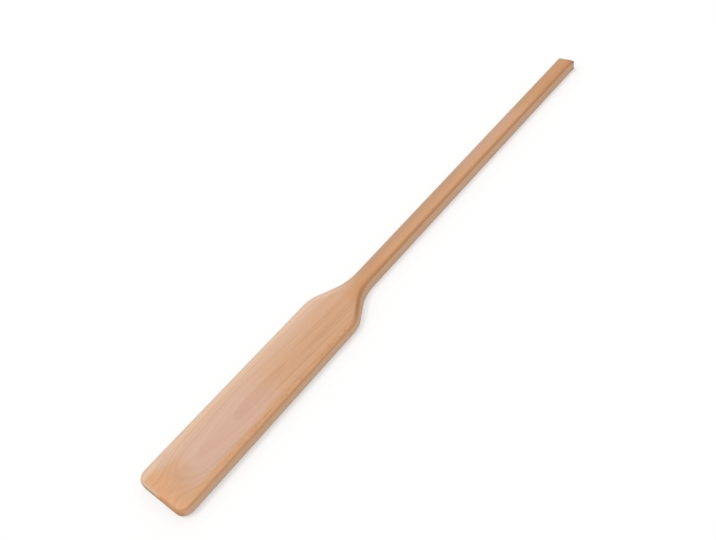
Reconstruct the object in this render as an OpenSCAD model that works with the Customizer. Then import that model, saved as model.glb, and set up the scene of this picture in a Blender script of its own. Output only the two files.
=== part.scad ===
// Stirring paddle, sawn and shaped from one board of close-grained wood.
// A long flat blade with thinned margins runs through sloped shoulders into a straight
// handle with rounded arrises. It lies on its flat back: X runs from the blade's tip to
// the handle's end, Y across the blade and Z up through the board.

/* [Board] */
// Overall length, from the tip of the blade to the end of the handle
paddle_l = 1219; // [950:1:1600]
// Thickness of the planed board, which the shoulders and the handle keep
board_t = 22; // [18:0.5:30]
// How far the carving stands above each planed face, and is planed away
planed_off = 0.1; // [0.05:0.05:0.4]

/* [Blade] */
// Width across the straight sides of the blade
blade_w = 115; // [90:1:150]
// Length from the tip to where the shoulders begin
blade_l = 395; // [250:1:520]
// Thickness along the middle of the blade at its tip
tip_t = 18; // [14:0.5:24]
// Thickness at the edges of the blade
blade_edge_t = 16; // [11:0.5:18]
// Width of the margin in which the blade thins to its edges
margin_w = 14; // [5:0.5:24]
// Radius that rounds the edges of the blade
blade_edge_r = 3; // [1:0.25:5]
// Radius of the two corners of the tip, seen from above
tip_corner_r = 19.5; // [6:0.5:40]

/* [Shoulders] */
// Slope of the shoulders against the length of the paddle
shoulder_slope = 32; // [20:0.5:50]
// Radius of the outward curve where the blade ends
shoulder_r = 54; // [20:1:90]
// Radius of the inward curve where the handle begins
neck_r = 88; // [30:1:140]

/* [Handle] */
// Width of the handle
handle_w = 37; // [28:0.5:48]
// Radius that rounds the long arrises of the handle
arris_r = 5; // [2:0.25:8]
// Radius of the corners of the sawn end, seen from above
end_corner_r = 3; // [1:0.25:8]
// How far the arris of the sawn end is eased back
end_ease = 1.5; // [0.5:0.25:3]

/* [Smoothness] */
// Steps across each rounded edge
round_steps = 5; // [2:1:8]
// Steps across each thinned margin
margin_steps = 4; // [2:1:6]
// Steps round each corner of the tip and along each shoulder curve
curve_steps = 10; // [4:1:16]
// Steps round each corner of the sawn end
end_steps = 4; // [2:1:8]
// Steps along the taper of the blade
taper_steps = 10; // [4:1:16]
// Steps along the plain handle
handle_steps = 4; // [1:1:8]

/* [Hidden] */

// The shoulder curves are cut back together where blade and handle leave no room for them
shoulder_drop = (blade_w - handle_w)/2;
curve_drop = (shoulder_r + neck_r)*(1 - cos(shoulder_slope));
curve_scale = min(1, 0.98*shoulder_drop/curve_drop);
outer_r = shoulder_r*curve_scale;
inner_r = neck_r*curve_scale;
ramp_l = (shoulder_drop - curve_drop*curve_scale)/tan(shoulder_slope);
neck_x = blade_l + (outer_r + inner_r)*sin(shoulder_slope) + ramp_l;

// The flat strip inside the handle's arris takes half of the flat that the arris leaves
handle_margin_w = (handle_w/2 - arris_r)/2;
// The board is this much longer and wider than the paddle at every side
board_spare = 10;
// The smallest radius at a corner that an inset has used up
corner_min_r = 0.5;
// A rounding takes at most this share of the half thickness that it rounds
round_share = 0.9;

function mix(a, b, t) = a + (b - a)*t;
function within(t) = min(1, max(0, t));
function ease(t) = t*t*(3 - 2*t);

// 0 on the blade, 1 on the handle, and an eased change along the shoulders
function handle_share(x) = ease(within((x - blade_l)/(neck_x - blade_l)));

// Half thickness along the middle: the blade tapers to its tip in one long easy curve
carved_t = board_t + 2*planed_off;
function half_middle(x) = mix(tip_t, carved_t, 1 - pow(1 - within(x/blade_l), 2))/2;

// Half thickness at the edge, and the rounding and the margin that belong to it
function half_edge(x) = mix(blade_edge_t, carved_t, handle_share(x))/2;
function edge_r(x) = min(mix(blade_edge_r, arris_r, handle_share(x)), round_share*half_edge(x));
function edge_margin(x) = mix(margin_w, handle_margin_w, handle_share(x));

// A layer is [face, turn, share]: the face it belongs to, 1 above and -1 below, how far it
// has turned round the edge in degrees, and how far it has crossed the margin
rounding = [for (i = [0:round_steps]) [90*i/round_steps, 0]];
margin = [for (i = [1:margin_steps]) [90, i/margin_steps]];
half_layers = concat(rounding, margin);
top_layer = len(half_layers) - 1;
layers = concat(
    [for (i = [0:top_layer]) concat([-1], half_layers[top_layer - i])],
    [for (i = [0:top_layer]) concat([1], half_layers[i])]
);

function inset(layer, x) = edge_r(x)*(1 - cos(layer[1])) + edge_margin(x)*layer[2];
function end_inset(layer) = end_ease*(1 - cos(layer[1])) + handle_margin_w*layer[2];

// Height of a layer at a point whose edge lies at edge_x and which itself lies at x
function height(layer, edge_x, x) =
    let (
        edge_z = half_edge(edge_x) - edge_r(edge_x)*(1 - sin(layer[1])),
        rise = (half_middle(x) - half_edge(edge_x))*sin(90*layer[2])
    )
    board_t/2 + layer[0]*(edge_z + rise);

// One side of the outline between its corners, as points [x, y, direction it faces]
function curve(cx, cy, r, from, to, turned) = [
    for (i = [0:curve_steps])
        let (a = mix(from, to, i/curve_steps))
        [cx + r*cos(a), cy + r*sin(a), a - turned]
];
blade_side = [
    for (i = [1:taper_steps - 1])
        [mix(tip_corner_r, blade_l, i/taper_steps), blade_w/2, 90]
];
shoulder_side = curve(blade_l, blade_w/2 - outer_r, outer_r, 90, 90 - shoulder_slope, 0);
neck_side = curve(neck_x, handle_w/2 + inner_r, inner_r, 270 - shoulder_slope, 270, 180);
handle_side = [
    for (i = [1:handle_steps])
        [mix(neck_x, paddle_l - 2*end_corner_r, i/handle_steps), handle_w/2, 90]
];
side = concat(blade_side, shoulder_side, neck_side, handle_side);

// A rounded corner between an end at end_x, which faces along way, and a side at half_w
function corner(end_x, half_w, r, way, from, to, steps) = [
    for (i = [0:steps])
        let (a = mix(from, to, i/steps))
        [end_x - way*r + r*cos(a), half_w - r + r*sin(a)]
];

// The points of one layer on the side of +Y, from the tip to the end of the handle
function layer_side(layer) =
    let (
        tip_in = inset(layer, 0),
        tip_r = max(tip_corner_r - tip_in, corner_min_r),
        end_in = end_inset(layer),
        end_side = handle_w/2 - inset(layer, paddle_l),
        end_r = max(end_corner_r - end_in, corner_min_r)
    )
    concat(
        [
            for (p = corner(tip_in, blade_w/2 - tip_in, tip_r, -1, 180, 90, curve_steps))
                [p[0], p[1], height(layer, 0, p[0])]
        ],
        [
            for (p = side)
                let (d = inset(layer, p[0]), x = p[0] - d*cos(p[2]))
                [x, p[1] - d*sin(p[2]), height(layer, p[0], x)]
        ],
        [
            for (p = corner(paddle_l - end_in, end_side, end_r, 1, 90, 0, end_steps))
                [p[0], p[1], height(layer, paddle_l, p[0])]
        ]
    );

// A whole layer goes out along one side and comes back along its mirror image
function layer_ring(layer) =
    let (out = layer_side(layer), last = len(out) - 1)
    concat(out, [for (i = [0:last]) let (p = out[last - i]) [p[0], -p[1], p[2]]]);

module carved_board() {
    rings = [for (layer = layers) layer_ring(layer)];
    round_n = len(rings[0]);
    top = len(rings) - 1;
    walls = [
        for (k = [0:top - 1], i = [0:round_n - 1])
            let (a = k*round_n, b = a + round_n, j = (i + 1) % round_n)
            each [[a + i, a + j, b + j], [a + i, b + j, b + i]]
    ];
    // The two faces are strips from one side to the other
    faces = [
        for (i = [0:round_n/2 - 2])
            let (l = top*round_n + i, r = (top + 1)*round_n - 1 - i)
            each [
                [l, l + 1, r - 1], [l, r - 1, r],
                [round_n - 1 - i, round_n - 2 - i, i + 1], [round_n - 1 - i, i + 1, i]
            ]
    ];
    polyhedron([for (ring = rings) each ring], concat(walls, faces));
}

// The sawn board that the paddle is carved from, whose two planed faces it keeps
module board() {
    translate([-board_spare, -blade_w/2 - board_spare, 0])
        cube([paddle_l + 2*board_spare, blade_w + 2*board_spare, board_t]);
}

module paddle() {
    color("burlywood")
        translate([-paddle_l/2, 0, 0])
            intersection() {
                board();
                carved_board();
            }
}

paddle();
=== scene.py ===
# Stirring paddle: a flat blade with thinned margins, sloped shoulders and a long straight handle,
# cut from one board. X runs from the blade's tip to the handle's end, Z is up. All in metres.

import math
from types import SimpleNamespace

import bmesh
import bpy
import numpy as np
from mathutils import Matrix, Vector


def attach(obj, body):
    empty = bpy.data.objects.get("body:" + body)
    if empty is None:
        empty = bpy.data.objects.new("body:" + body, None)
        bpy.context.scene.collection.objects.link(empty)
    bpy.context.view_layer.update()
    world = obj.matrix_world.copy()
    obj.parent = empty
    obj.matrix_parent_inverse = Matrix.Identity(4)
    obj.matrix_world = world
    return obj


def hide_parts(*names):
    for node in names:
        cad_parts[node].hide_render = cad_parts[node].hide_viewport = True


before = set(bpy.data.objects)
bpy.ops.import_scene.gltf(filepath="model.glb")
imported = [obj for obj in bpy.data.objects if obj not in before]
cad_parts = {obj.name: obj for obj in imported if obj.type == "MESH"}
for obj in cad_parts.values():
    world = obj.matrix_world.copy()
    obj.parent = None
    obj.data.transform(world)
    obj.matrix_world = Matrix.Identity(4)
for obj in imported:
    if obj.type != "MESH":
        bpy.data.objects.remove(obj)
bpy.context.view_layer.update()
print("frame loaded", sorted(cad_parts))


# camera, floor and light

cameraView = {
    "place": (-0.70508, -0.77382, 0.95014),
    "turn": (45.2859, 13.9295, -50.5515),  # degrees about X, Y and Z
    "lens": 38.3634,
    "sensor": 36.0,
    "near": 0.01,
    "far": 50,
}

studio = {
    "floorSize": 14.0,
    "floorDrop": 0.0004,  # keeps the floor clear of the paddle's flat back
    "floorBounce": 0.88,  # what the floor throws back at the paddle's sides
    "plainWhite": 0.5,  # share of the floor that stays plain white under the shadow
    "skyLight": 0.74,
    "keyLight": 0.94,
    "keyPlace": (-0.6, 0.5, 1.8),
    "keyFrom": (-0.31, 0.26, 0.90),
    "keySoftness": 26,  # degrees across
}


def setCamera(view):
    turn = [math.radians(angle) for angle in view["turn"]]
    bpy.ops.object.camera_add(location=view["place"], rotation=turn)
    camera = bpy.context.active_object
    camera.name = "photo_camera"
    camera.data.sensor_fit = "HORIZONTAL"
    camera.data.sensor_width = view["sensor"]
    camera.data.lens = view["lens"]
    camera.data.clip_start = view["near"]
    camera.data.clip_end = view["far"]
    bpy.context.scene.camera = camera


# One socket of a shader tree. Sums on it add the Math nodes.
class Wire:
    def __init__(self, tree, socket=None):
        self.tree = tree
        self.socket = socket

    def node(self, kind, settings=None, sockets=None, output=0):
        made = self.tree.nodes.new(kind)
        for name, value in (settings or {}).items():
            if name == "stops":
                fillRamp(made.color_ramp, value)
            else:
                setattr(made, name, value)
        for name, value in (sockets or {}).items():
            if isinstance(value, Wire):
                self.tree.links.new(value.socket, made.inputs[name])
            else:
                made.inputs[name].default_value = value
        return Wire(self.tree, made.outputs[output] if made.outputs else None)

    def math(self, operation, *others):
        sockets = dict(enumerate((self, *others)))
        return self.node("ShaderNodeMath", {"operation": operation}, sockets)

    def __add__(self, other):
        return self.math("ADD", other)

    def __sub__(self, other):
        return self.math("SUBTRACT", other)

    def __rsub__(self, other):
        sockets = {0: other, 1: self}
        return self.node("ShaderNodeMath", {"operation": "SUBTRACT"}, sockets)

    def __mul__(self, other):
        return self.math("MULTIPLY", other)

    def __truediv__(self, other):
        return self.math("DIVIDE", other)

    def __pow__(self, other):
        return self.math("POWER", other)

    def __abs__(self):
        return self.math("ABSOLUTE")

    __radd__ = __add__
    __rmul__ = __mul__

    # 0 below low and 1 above high, eased between
    def rise(self, low, high):
        sockets = {"Value": self, "From Min": low, "From Max": high}
        return self.node("ShaderNodeMapRange", {"interpolation_type": "SMOOTHSTEP"}, sockets)

    # 1 below low and 0 above high
    def fall(self, low, high):
        return 1 - self.rise(low, high)


def fillRamp(ramp, stops):
    while len(ramp.elements) > 1:
        ramp.elements.remove(ramp.elements[-1])
    ramp.elements[0].position = stops[0][0]
    ramp.elements[0].color = stops[0][1]
    for position, colour in stops[1:]:
        ramp.elements.new(position).color = colour


def newFinish(name):
    material = bpy.data.materials.new(name)
    material.use_nodes = True
    material.node_tree.nodes.clear()
    return material, Wire(material.node_tree)


def setFloor(studio):
    bpy.ops.object.select_all(action="DESELECT")
    bpy.ops.mesh.primitive_plane_add(size=studio["floorSize"], location=(0, 0, -studio["floorDrop"]))
    floor = bpy.context.active_object
    floor.name = "floor"
    material, start = newFinish("white_floor")
    seen = start.node("ShaderNodeLightPath", output="Is Camera Ray")
    bounce = [studio["floorBounce"]] * 3 + [1]
    white = (1, 1, 1, 1)
    colour = start.node("ShaderNodeMix", {"data_type": "RGBA"}, {0: seen, 6: bounce, 7: white}, 2)
    shaded = start.node("ShaderNodeBsdfDiffuse", {}, {"Color": colour})
    plain = start.node("ShaderNodeEmission", {}, {"Color": white, "Strength": 1.0})
    share = seen * studio["plainWhite"]
    shader = start.node("ShaderNodeMixShader", {}, {0: share, 1: shaded, 2: plain})
    start.node("ShaderNodeOutputMaterial", {}, {"Surface": shader})
    floor.data.materials.append(material)


def setLight(studio):
    world = bpy.data.worlds.new("studio")
    bpy.context.scene.world = world
    world.use_nodes = True
    world.node_tree.nodes.clear()
    start = Wire(world.node_tree)
    seen = start.node("ShaderNodeLightPath", output="Is Camera Ray")
    mirrored = start.node("ShaderNodeLightPath", output="Is Glossy Ray")
    through = start.node("ShaderNodeLightPath", output="Is Transmission Ray")
    direct = seen.math("MAXIMUM", mirrored).math("MAXIMUM", through)
    strength = studio["skyLight"] + direct * (1 - studio["skyLight"])
    sky = start.node("ShaderNodeBackground", {}, {"Color": (1, 1, 1, 1), "Strength": strength})
    start.node("ShaderNodeOutputWorld", {}, {"Surface": sky})
    turn = Vector(studio["keyFrom"]).to_track_quat("Z", "Y").to_euler()
    bpy.ops.object.light_add(type="SUN", location=studio["keyPlace"], rotation=turn)
    key = bpy.context.active_object
    key.name = "key_light"
    key.data.energy = studio["keyLight"]
    key.data.angle = math.radians(studio["keySoftness"])


setCamera(cameraView)
setFloor(studio)
setLight(studio)
bpy.context.scene.view_settings.view_transform = "Standard"
print("camera, floor and light set")


# the paddle's shape

paddle = {
    "length": 1.219,
    "thickness": 0.022,
    "bladeWidth": 0.115,
    "bladeLength": 0.395,  # tip to where the shoulders begin
    "tipThickness": 0.018,
    "edgeThickness": 0.015,  # blade's edge, before it is rounded
    "edgeRadius": 0.003,
    "tipRadius": 0.0195,
    "shoulderSlope": 32,  # degrees
    "shoulderRadius": 0.054,
    "neckRadius": 0.088,
    "handleWidth": 0.037,
    "arrisRadius": 0.005,
    "endEase": 0.0022,
    "marginSteps": (0.0054, 0.0038, 0.0038, 0.0040),  # bands of the thinned margin, from the edge in
    "bladeCuts": 18,
    "handleCuts": 35,
    "rampCuts": 2,
    "tipCuts": 5,
    "tipSegments": 14,
    "shoulderSegments": 16,
    "edgeSegments": 6,
    "endSegments": 4,
    "roundProfile": 0.5,
    "arcProfile": 0.555,  # bevel profile that makes a true arc of so shallow a turn
}

tipX = -paddle["length"] / 2
endX = paddle["length"] / 2
bladeHalf = paddle["bladeWidth"] / 2
handleHalf = paddle["handleWidth"] / 2
halfThick = paddle["thickness"] / 2
slope = math.radians(paddle["shoulderSlope"])
shoulderReach = paddle["shoulderRadius"] * math.tan(slope / 2)
neckReach = paddle["neckRadius"] * math.tan(slope / 2)
bladeEndX = tipX + paddle["bladeLength"]
shoulderX = bladeEndX + shoulderReach
neckCornerX = shoulderX + (bladeHalf - handleHalf) / math.tan(slope)
neckX = neckCornerX + neckReach
marginWidth = sum(paddle["marginSteps"])
tiny = 1e-5
levelNormal = 0.9  # a face whose normal stands up more than this is one of the two flat ones
uprightNormal = 0.3  # and one below this is the wall between them
levelDrop = 0.004  # an edge that drops more than this runs down the wall


def editedForm():
    return bmesh.from_edit_mesh(bpy.context.active_object.data)


# Selects the points, edges or faces that pass the test, and nothing else
def pick(kind, test):
    bpy.ops.mesh.select_mode(type=kind)
    bpy.ops.mesh.select_all(action="DESELECT")
    form = editedForm()
    parts = {"VERT": form.verts, "EDGE": form.edges, "FACE": form.faces}[kind]
    for part in parts:
        if not part.hide and test(part):
            part.select_set(True)
    form.select_flush_mode()
    bmesh.update_edit_mesh(bpy.context.active_object.data)


def sideEdge(fromX, toX):
    def test(edge):
        xs = [point.co.x for point in edge.verts]
        return abs(min(xs) - fromX) < tiny and abs(max(xs) - toX) < tiny
    return test


def drawOutline(paddle):
    bpy.ops.object.select_all(action="DESELECT")
    bpy.ops.mesh.primitive_plane_add(size=1, location=(0, 0, 0))
    board = bpy.context.active_object
    board.name = "paddle_wood"
    bpy.ops.object.mode_set(mode="EDIT")
    middle = (0, 0, 0)
    size = (paddle["length"], paddle["bladeWidth"], 1)
    bpy.ops.transform.resize(value=size, center_override=middle)
    for x in (shoulderX, neckCornerX):
        bpy.ops.mesh.select_all(action="SELECT")
        bpy.ops.mesh.bisect(plane_co=(x, 0, 0), plane_no=(1, 0, 0))
    pick("VERT", lambda point: point.co.x > neckCornerX - tiny)
    bpy.ops.transform.resize(value=(1, handleHalf / bladeHalf, 1), center_override=middle)
    bpy.ops.mesh.select_all(action="SELECT")
    bpy.ops.mesh.dissolve_faces()
    # the corners of the tip, then the outward and the inward curve of the shoulders
    corners = (
        (tipX, paddle["tipRadius"], paddle["tipSegments"], paddle["roundProfile"]),
        (shoulderX, shoulderReach, paddle["shoulderSegments"], paddle["arcProfile"]),
        (neckCornerX, neckReach, paddle["shoulderSegments"], paddle["arcProfile"]),
    )
    for x, reach, segments, profile in corners:
        pick("VERT", lambda point: abs(point.co.x - x) < tiny)
        bpy.ops.mesh.bevel(offset=reach, segments=segments, profile=profile, affect="VERTICES")
    # points along the straight stretches
    rampStart = shoulderX + shoulderReach * math.cos(slope)
    rampEnd = neckCornerX - neckReach * math.cos(slope)
    straights = (
        (tipX, tipX, paddle["tipCuts"]),
        (tipX + paddle["tipRadius"], bladeEndX, paddle["bladeCuts"]),
        (rampStart, rampEnd, paddle["rampCuts"]),
        (neckX, endX, paddle["handleCuts"]),
    )
    for fromX, toX, cuts in straights:
        pick("EDGE", sideEdge(fromX, toX))
        bpy.ops.mesh.subdivide(number_cuts=cuts)
    bpy.ops.mesh.select_all(action="SELECT")
    bpy.ops.mesh.dissolve_faces()
    return board


# The outline's points in order, for measuring how far in from it a point lies
def readOutline():
    face = editedForm().faces[:][0]
    return np.array([(point.co.x, point.co.y) for point in face.verts])


def measureIn(points, outline):
    start = outline
    run = np.roll(outline, -1, axis=0) - start
    length = (run ** 2).sum(axis=1)
    nearest = np.full(len(points), paddle["length"])
    for k in range(len(start)):
        off = points - start[k]
        along = np.clip((off @ run[k]) / length[k], 0, 1)
        gap = off - along[:, None] * run[k]
        nearest = np.minimum(nearest, np.sqrt((gap ** 2).sum(axis=1)))
    return nearest


# 0 on the blade, 1 on the handle, eased along the shoulders
def handleShare(x):
    share = min(1, max(0, (x - bladeEndX) / (neckX - bladeEndX)))
    return share * share * (3 - 2 * share)


def faceHeight(x, inward):
    along = min(1, max(0, (x - tipX) / paddle["bladeLength"]))
    taper = 1 - (1 - along) ** 2
    middle = paddle["tipThickness"] + (paddle["thickness"] - paddle["tipThickness"]) * taper
    edge = paddle["edgeThickness"]
    edge += (paddle["thickness"] - edge) * handleShare(x)
    crown = math.sin(math.pi / 2 * min(1, inward / marginWidth))
    return (edge + (middle - edge) * crown) / 2


def carveFaces(paddle, outline):
    bpy.ops.mesh.select_all(action="SELECT")
    lift = {"value": (0, 0, paddle["thickness"])}
    bpy.ops.mesh.extrude_region_move(TRANSFORM_OT_translate=lift)
    pick("FACE", lambda face: abs(face.normal.z) > levelNormal)
    for step in paddle["marginSteps"]:
        bpy.ops.mesh.inset(thickness=step, use_even_offset=True)
    # cross cuts through the two plain fields inside the margins
    bpy.ops.mesh.hide(unselected=True)
    firstCut = tipX + paddle["tipRadius"] - tiny
    cuts = set()
    for point in editedForm().verts:
        if not point.hide and firstCut < point.co.x < endX - marginWidth - tiny:
            cuts.add(round(point.co.x, 5))
    for x in sorted(cuts):
        bpy.ops.mesh.select_all(action="SELECT")
        bpy.ops.mesh.bisect(plane_co=(x, 0, 0), plane_no=(1, 0, 0), threshold=2 * tiny)
    bpy.ops.mesh.reveal(select=False)
    # every point is pressed towards the middle of the board by its own share
    form = editedForm()
    form.verts.ensure_lookup_table()
    plan = np.array([(point.co.x, point.co.y) for point in form.verts])
    inward = measureIn(plan, outline)
    shares = {}
    for point in form.verts:
        share = faceHeight(point.co.x, inward[point.index]) / halfThick
        shares.setdefault(round(share, 4), set()).add(point.index)
    for share, members in shares.items():
        if share < 1:
            pick("VERT", lambda point: point.index in members)
            bpy.ops.transform.resize(value=(1, 1, share), center_override=(0, 0, halfThick))
    print("pressed in", len(shares), "steps")


def isRim(edge):
    one, other = [point.co for point in edge.verts]
    if abs(one.z - other.z) > levelDrop or min(one.x, other.x) > endX - tiny:
        return False
    walls = [face for face in edge.link_faces if abs(face.normal.z) < uprightNormal]
    return len(walls) == 1


def roundEdges(board, paddle):
    widest = paddle["arrisRadius"]
    rims = {}
    for edge in editedForm().edges:
        if isRim(edge):
            x = sum(point.co.x for point in edge.verts) / 2
            radius = paddle["edgeRadius"] + (widest - paddle["edgeRadius"]) * handleShare(x)
            rims.setdefault(round(radius / widest, 2), set()).add(edge.index)
    for weight, members in rims.items():
        pick("EDGE", lambda edge: edge.index in members)
        bpy.ops.transform.edge_bevelweight(value=weight)
    bpy.ops.object.mode_set(mode="OBJECT")
    rounding = board.modifiers.new("rounding", "BEVEL")
    rounding.width = widest
    rounding.segments = paddle["edgeSegments"]
    rounding.limit_method = "WEIGHT"
    rounding.use_clamp_overlap = False
    bpy.ops.object.modifier_apply(modifier="rounding")
    # the sawn end has its own small ease
    bpy.ops.object.mode_set(mode="EDIT")
    pick("EDGE", lambda edge: min(point.co.x for point in edge.verts) > endX - tiny)
    bpy.ops.mesh.bevel(offset=paddle["endEase"], segments=paddle["endSegments"])
    bpy.ops.mesh.select_all(action="SELECT")
    bpy.ops.mesh.remove_doubles(threshold=tiny / 2)
    bpy.ops.mesh.normals_make_consistent(inside=False)
    bpy.ops.object.mode_set(mode="OBJECT")


def smoothFaces(board):
    bpy.ops.object.shade_smooth()
    weighting = board.modifiers.new("weighting", "WEIGHTED_NORMAL")
    weighting.mode = "FACE_AREA"
    weighting.weight = 50
    bpy.ops.object.modifier_apply(modifier="weighting")


# How far in from the outline each point lies, kept on the mesh for the finish
def noteEdge(board, outline):
    points = np.empty(len(board.data.vertices) * 3)
    board.data.vertices.foreach_get("co", points)
    inward = measureIn(points.reshape(-1, 3)[:, :2], outline)
    note = board.data.attributes.new("inward", "FLOAT", "POINT")
    note.data.foreach_set("value", inward.astype(np.float32))


board = drawOutline(paddle)
outline = readOutline()
print("outline drawn,", len(outline), "points")
carveFaces(paddle, outline)
roundEdges(board, paddle)
smoothFaces(board)
noteEdge(board, outline)
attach(board, "root")
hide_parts("paddle")
print("paddle shaped,", len(board.data.polygons), "faces")


# the wood

wood = {
    # colours as seen, 0 to 255
    "tan": (211, 164, 127),
    "pink": (212, 172, 149),
    "peach": (221, 166, 122),
    "brownStreak": (199, 150, 110),
    "paleSide": (219, 179, 151),
    "sapwood": (226, 192, 166),
    "rightEdge": (211, 161, 118),
    "rightDash": (176, 118, 66),
    "neckOrange": (204, 146, 96),
    # painted shade: the right shoulder's rounded edge, turned away from the light, in dark brown
    "shoulderBrown": (158, 104, 62),
    "shaft": (205, 154, 114),
    "shaftLeft": (192, 152, 120),
    "shaftRight": (211, 158, 114),
    "shaftPink": (204, 162, 136),
    "shaftEnd": (199, 142, 94),
    "lateWood": (186, 130, 88),
    "rust": (202, 134, 82),
    # painted sheen: the blade's left rim, which faces the key light, made paler and greyer
    "greyRim": (205, 183, 163),
    # painted sheen: the handle's left rim, which faces the key light, made greyer
    "shaftRim": (188, 158, 132),
    # painted shade: the rounded arris on the right, which faces away from the key light, made darker
    "arris": (178, 126, 86),
    # painted light: the upright walls made paler and greyer, standing for the white floor's light on
    # them
    "side": (208, 172, 143),
    "endGrain": (178, 126, 86),
    "fleck": (150, 98, 64),
    # growth rings, in millimetres, about a pith that runs under the front face
    "ringWidth": 4.4,
    "pithAcross": -8,
    "pithDepth": 47,
    "pithDrift": -17,  # towards the right edge, from blade to handle
    "ringSpread": 0.3,  # how much closer the rings lie on the handle
    "tipDip": 12,
    "bladeDip": 7,
    "slowShift": 7,
    "wobbleShift": 1.4,
    "faintestRing": 0.2,
    "roughness": 0.52,
    "specular": 0.35,
    "grainDepth": 0.00005,
    "bumpStrength": 0.6,
    # how strongly each colour is laid, where that isn't fully
    "strength": {
        "brownStreak": 0.6,
        "rightEdge": 0.8,
        "peach": 0.9,
        "sapwood": 0.95,
        "shaftRight": 0.9,
        "shaftPink": 0.8,
        "neckOrange": 0.9,
        "lateWood": 0.22,
        "rightDash": 0.75,
        "shoulderBrown": 0.8,
        "greyRim": 0.9,
        "shaftRim": 0.8,
        "side": 0.75,
        "endGrain": 0.8,
        "fleck": 0.28,
    },
    # how much each pattern lightens and darkens the wood
    "shading": {"band": 0.12, "streak": 0.09, "fibre": 0.08},
    # size of each pattern along, across and through the board, in millimetres
    "patternSize": {
        "slow": (210, 60, 60),
        "wobble": (45, 16, 16),
        "band": (420, 8, 1),
        "streak": (150, 2.6, 2.6),
        "broad": (260, 8, 10),
        "fibre": (26, 0.42, 0.42),
        "fleck": (3.4, 0.62, 1.5),
        "fleckCloud": (30, 12, 12),
        "dash": (9, 1.5, 3),
    },
    # where each mask begins and ends, in millimetres from the tip
    "span": {
        "pithDrift": (200, 480),
        "tipDip": (14, 80),
        "bladeDip": (60, 200),
        "handle": (425, 530),
        "pinkFrom": (35, 80),
        "pinkTo": (190, 275),
        "peachTo": (10, 44),
        "brownFrom": (170, 260),
        "sapCornerTo": (30, 70),
        "shaftPinkFrom": (770, 860),
        "shaftPinkTo": (990, 1050),
        "shaftEndFrom": (1000, 1130),
        "neckFrom": (425, 475),
        "neckTo": (500, 570),
        "dashFrom": (70, 110),
        "dashTo": (390, 420),
        "shoulderFrom": (392, 430),
        "shoulderTo": (462, 500),
    },
    # the same across the board, where the left edge is above 0
    "spread": {
        "left": (0, 6),
        "right": (-6, 0),
        "pinkRight": (-52, -36),
        "pinkLeft": (24, 40),
        "brownLeft": (10, 26),
        "paleSide": (20, 36),
        "rightEdge": (-50, -38),
        "sapCorner": (36, 46),
        "shaftLeft": (-2, 9),
        "shaftRight": (-8, -1),
        "shaftPink": (-9, 2),
        "shaftEnd": (-10, 4),
        "neck": (-12, 5),
    },
    # and in from the outline
    "depth": {
        "sapwood": (11, 20),
        "dashOut": (2, 5),
        "dashIn": (9, 14),
        "shoulderOut": (0.5, 3),
        "shoulderIn": (5, 10),
        "greyRim": (2, 7),
        "shaftRim": (2, 9),
        # painted shade along the right arrises, in from the outline
        "arrisOut": (0.2, 1.2),
        "bladeArris": (2.5, 5.5),
        "shaftArris": (3, 10),
    },
}

# short names for the three tables of masks
span = wood["span"]
spread = wood["spread"]
depth = wood["depth"]


def tone(name):
    levels = [((level / 255 + 0.055) / 1.055) ** 2.4 for level in wood[name]]
    return (*levels, 1)


def blend(share, first, second):
    mixing = {"data_type": "RGBA", "blend_type": "MIX"}
    return share.node("ShaderNodeMix", mixing, {0: share, 6: first, 7: second}, 2)


# Lays one of the wood's colours over another, as far as the mask lets it
def lay(colour, mask, name):
    return blend(mask * wood["strength"].get(name, 1), colour, tone(name))


def pattern(name, x, y, z, detail=2.0, roughness=0.5):
    sizes = wood["patternSize"][name]
    sockets = {"X": x / sizes[0], "Y": y / sizes[1], "Z": z / sizes[2]}
    spot = x.node("ShaderNodeCombineXYZ", {}, sockets)
    sockets = {"Vector": spot, "Scale": 1.0, "Detail": detail, "Roughness": roughness}
    return x.node("ShaderNodeTexNoise", {}, sockets, "Fac") - 0.5


# Where a point of the board lies, in millimetres, and which way it faces
def readPlace(start):
    place = start.node("ShaderNodeTexCoord", {}, {}, "Object")
    facing = start.node("ShaderNodeTexCoord", {}, {}, "Normal")
    split = "ShaderNodeSeparateXYZ"
    millimetre = 0.001
    return SimpleNamespace(
        along=start.node(split, {}, {0: place}, "X") / millimetre - tipX / millimetre,
        across=start.node(split, {}, {0: place}, "Y") / millimetre,
        up=(start.node(split, {}, {0: place}, "Z") - paddle["thickness"]) / millimetre,
        endOn=abs(start.node(split, {}, {0: facing}, "X")),
        flat=abs(start.node(split, {}, {0: facing}, "Z")),
        inward=start.node("ShaderNodeAttribute", {"attribute_name": "inward"}, {}, "Fac") / millimetre,
    )


# Growth rings are cylinders about the pith, which dips towards the tip
def growRings(wood, spot):
    along, across, up = spot.along, spot.across, spot.up
    neckward = along.rise(*span["pithDrift"])
    dip = along.fall(*span["tipDip"]) * wood["tipDip"]
    dip = dip + along.fall(*span["bladeDip"]) * wood["bladeDip"]
    beside = across - wood["pithAcross"] - neckward * wood["pithDrift"]
    beside = beside * (1 + neckward * wood["ringSpread"])
    above = up + wood["pithDepth"] + dip
    slow = pattern("slow", along, across, up)
    wobble = pattern("wobble", along, across, up)
    radius = (beside ** 2 + above ** 2) ** 0.5
    radius = radius + slow * wood["slowShift"] + wobble * wood["wobbleShift"]
    rings = radius / wood["ringWidth"]
    age = rings.math("FRACT")
    number = rings.math("FLOOR")
    chance = rings.node("ShaderNodeTexWhiteNoise", {"noise_dimensions": "1D"}, {"W": number}, "Value")
    faintest = wood["faintestRing"]
    return SimpleNamespace(
        beside=beside,
        slow=slow,
        wobble=wobble,
        late=age.rise(0.25, 0.86) * age.fall(0.90, 1.0) * (chance * (1 - faintest) + faintest),
        band=pattern("band", along, radius, 3.7, 3),
    )


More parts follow.
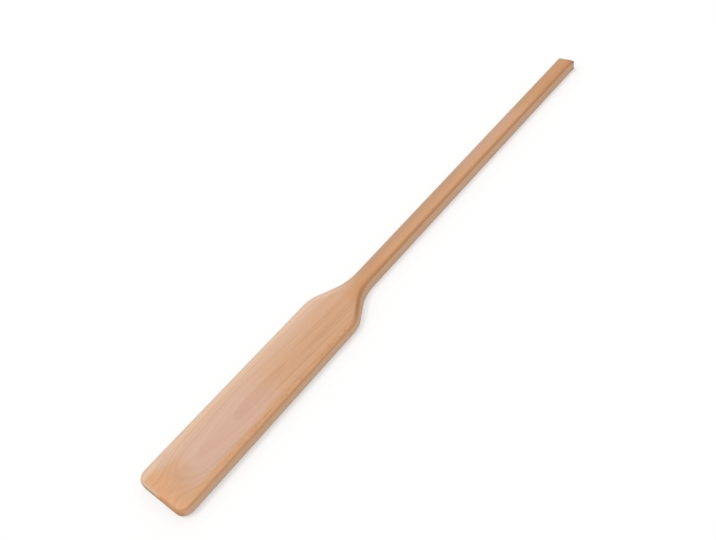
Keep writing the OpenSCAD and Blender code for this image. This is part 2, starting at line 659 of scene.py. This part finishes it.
# Streaks, fibres and flecks run along the board and bend with the pith
def layGrain(spot, rings):
    along, up, beside = spot.along, spot.up, rings.beside
    sizes = wood["patternSize"]["fleck"]
    sockets = {"X": along / sizes[0], "Y": spot.across / sizes[1], "Z": up / sizes[2]}
    fleckSpot = along.node("ShaderNodeCombineXYZ", {}, sockets)
    fleckGap = along.node("ShaderNodeTexVoronoi", {}, {"Vector": fleckSpot, "Scale": 1.0}, "Distance")
    fleckCloud = pattern("fleckCloud", along, spot.across, up)
    return SimpleNamespace(
        streak=pattern("streak", along, beside, up, 3),
        broad=pattern("broad", along, beside, up, 2),
        fibre=pattern("fibre", along, beside, up, 3, 0.6),
        dash=pattern("dash", along, beside, up, 2),
        fleck=fleckGap.fall(0.10, 0.26) * fleckCloud.rise(-0.06, 0.14),
    )


def colourBlade(spot, rings, grain, blade):
    along = spot.along
    shifted = spot.across + rings.slow * 14
    heart = (along + rings.slow * 60).rise(*span["pinkFrom"]) * along.fall(*span["pinkTo"])
    heart = heart * shifted.rise(*spread["pinkRight"]) * shifted.fall(*spread["pinkLeft"])
    colour = blend(heart, tone("tan"), tone("pink"))
    brown = (grain.broad + rings.band * 0.4 + grain.streak * 0.3).rise(-0.02, 0.16)
    brown = brown * along.rise(*span["brownFrom"]) * shifted.fall(*spread["brownLeft"])
    colour = lay(colour, brown, "brownStreak")
    colour = lay(colour, shifted.rise(*spread["paleSide"]) * blade, "paleSide")
    colour = lay(colour, shifted.fall(*spread["rightEdge"]) * blade, "rightEdge")
    glow = (along + rings.slow * 50 + rings.wobble * 14).fall(*span["peachTo"])
    colour = lay(colour, glow, "peach")
    corner = along.fall(*span["sapCornerTo"]) * spot.across.rise(*spread["sapCorner"])
    sap = spot.inward.fall(*depth["sapwood"]) * spot.left * along.rise(*span["sapCornerTo"])
    return lay(colour, corner.math("MAXIMUM", sap) * blade, "sapwood")


def colourShaft(spot, rings, grain):
    across = spot.across
    shaft = blend(across.rise(*spread["shaftLeft"]), tone("shaft"), tone("shaftLeft"))
    shaft = lay(shaft, across.fall(*spread["shaftRight"]), "shaftRight")
    shifted = spot.along + rings.slow * 80
    pink = shifted.rise(*span["shaftPinkFrom"]) * shifted.fall(*span["shaftPinkTo"])
    shaft = lay(shaft, pink * across.rise(*spread["shaftPink"]), "shaftPink")
    end = (spot.along + rings.slow * 60 + grain.streak * 80).rise(*span["shaftEndFrom"])
    return lay(shaft, end * (0.45 + 0.55 * across.fall(*spread["shaftEnd"])), "shaftEnd")


# The dashes that follow the outline, painted sheen on the left rims and painted shade on the right
# arrises and shoulder
def colourEdges(colour, spot, grain, blade, handle):
    along, inward = spot.along, spot.inward
    dashes = along.rise(*span["dashFrom"]) * along.fall(*span["dashTo"]) * spot.right
    dashes = dashes * inward.rise(*depth["dashOut"]) * inward.fall(*depth["dashIn"])
    colour = lay(colour, dashes * grain.dash.rise(0.02, 0.2), "rightDash")
    # painted shade along the right shoulder's rounding
    shoulder = along.rise(*span["shoulderFrom"]) * along.fall(*span["shoulderTo"]) * spot.right
    shoulder = shoulder * inward.rise(*depth["shoulderOut"]) * inward.fall(*depth["shoulderIn"])
    colour = lay(colour, shoulder, "shoulderBrown")
    # painted sheen on the blade's left rim, which faces the light
    colour = lay(colour, inward.fall(*depth["greyRim"]) * spot.left * blade, "greyRim")
    # painted sheen on the handle's left rim, which faces the light
    colour = lay(colour, inward.fall(*depth["shaftRim"]) * spot.left * handle, "shaftRim")
    # painted shade on the right arrises of blade and handle, away from the light
    arris = inward.fall(*depth["bladeArris"]) * blade * 0.6
    arris = arris + inward.fall(*depth["shaftArris"]) * handle * 0.85
    colour = lay(colour, inward.rise(*depth["arrisOut"]) * arris * spot.right, "arris")
    # painted light from the white floor on the upright walls
    colour = lay(colour, spot.flat.fall(0.15, 0.7), "side")
    return lay(colour, spot.endOn.rise(0.45, 0.95), "endGrain")


def paintWood(wood):
    material, start = newFinish("wood_plain")
    spot = readPlace(start)
    spot.left = spot.across.rise(*spread["left"])
    spot.right = spot.across.fall(*spread["right"])
    rings = growRings(wood, spot)
    grain = layGrain(spot, rings)
    handle = spot.along.rise(*span["handle"])
    blade = 1 - handle

    colour = blend(handle, colourBlade(spot, rings, grain, blade), colourShaft(spot, rings, grain))
    neck = spot.along.rise(*span["neckFrom"]) * spot.along.fall(*span["neckTo"])
    colour = lay(colour, neck * spot.across.fall(*spread["neck"]), "neckOrange")
    colour = lay(colour, rings.late, "lateWood")
    rust = (grain.streak + 0.35 * rings.band).rise(0.06, 0.26)
    colour = lay(colour, rust * (0.12 + 0.16 * handle), "rust")
    colour = colourEdges(colour, spot, grain, blade, handle)
    colour = lay(colour, grain.fleck, "fleck")
    shade = 1 + rings.band * wood["shading"]["band"] + grain.streak * wood["shading"]["streak"]
    shade = shade + grain.fibre * wood["shading"]["fibre"]
    colour = start.node("ShaderNodeVectorMath", {"operation": "SCALE"}, {0: colour, "Scale": shade})

    bump = start.node("ShaderNodeBump", {}, {
        "Strength": wood["bumpStrength"],
        "Distance": wood["grainDepth"],
        "Height": grain.fibre * 0.6 - rings.late * 0.25 - grain.fleck * 0.5,
    })
    rough = wood["roughness"] + grain.fibre * 0.16 - rings.late * 0.08
    shader = start.node("ShaderNodeBsdfPrincipled", {}, {
        "Base Color": colour,
        "Roughness": rough + spot.endOn.rise(0.4, 0.95) * 0.2,
        "Specular IOR Level": wood["specular"],
        "Normal": bump,
    })
    start.node("ShaderNodeOutputMaterial", {}, {"Surface": shader})
    return material


board.data.materials.clear()
board.data.materials.append(paintWood(wood))
print("wood painted")
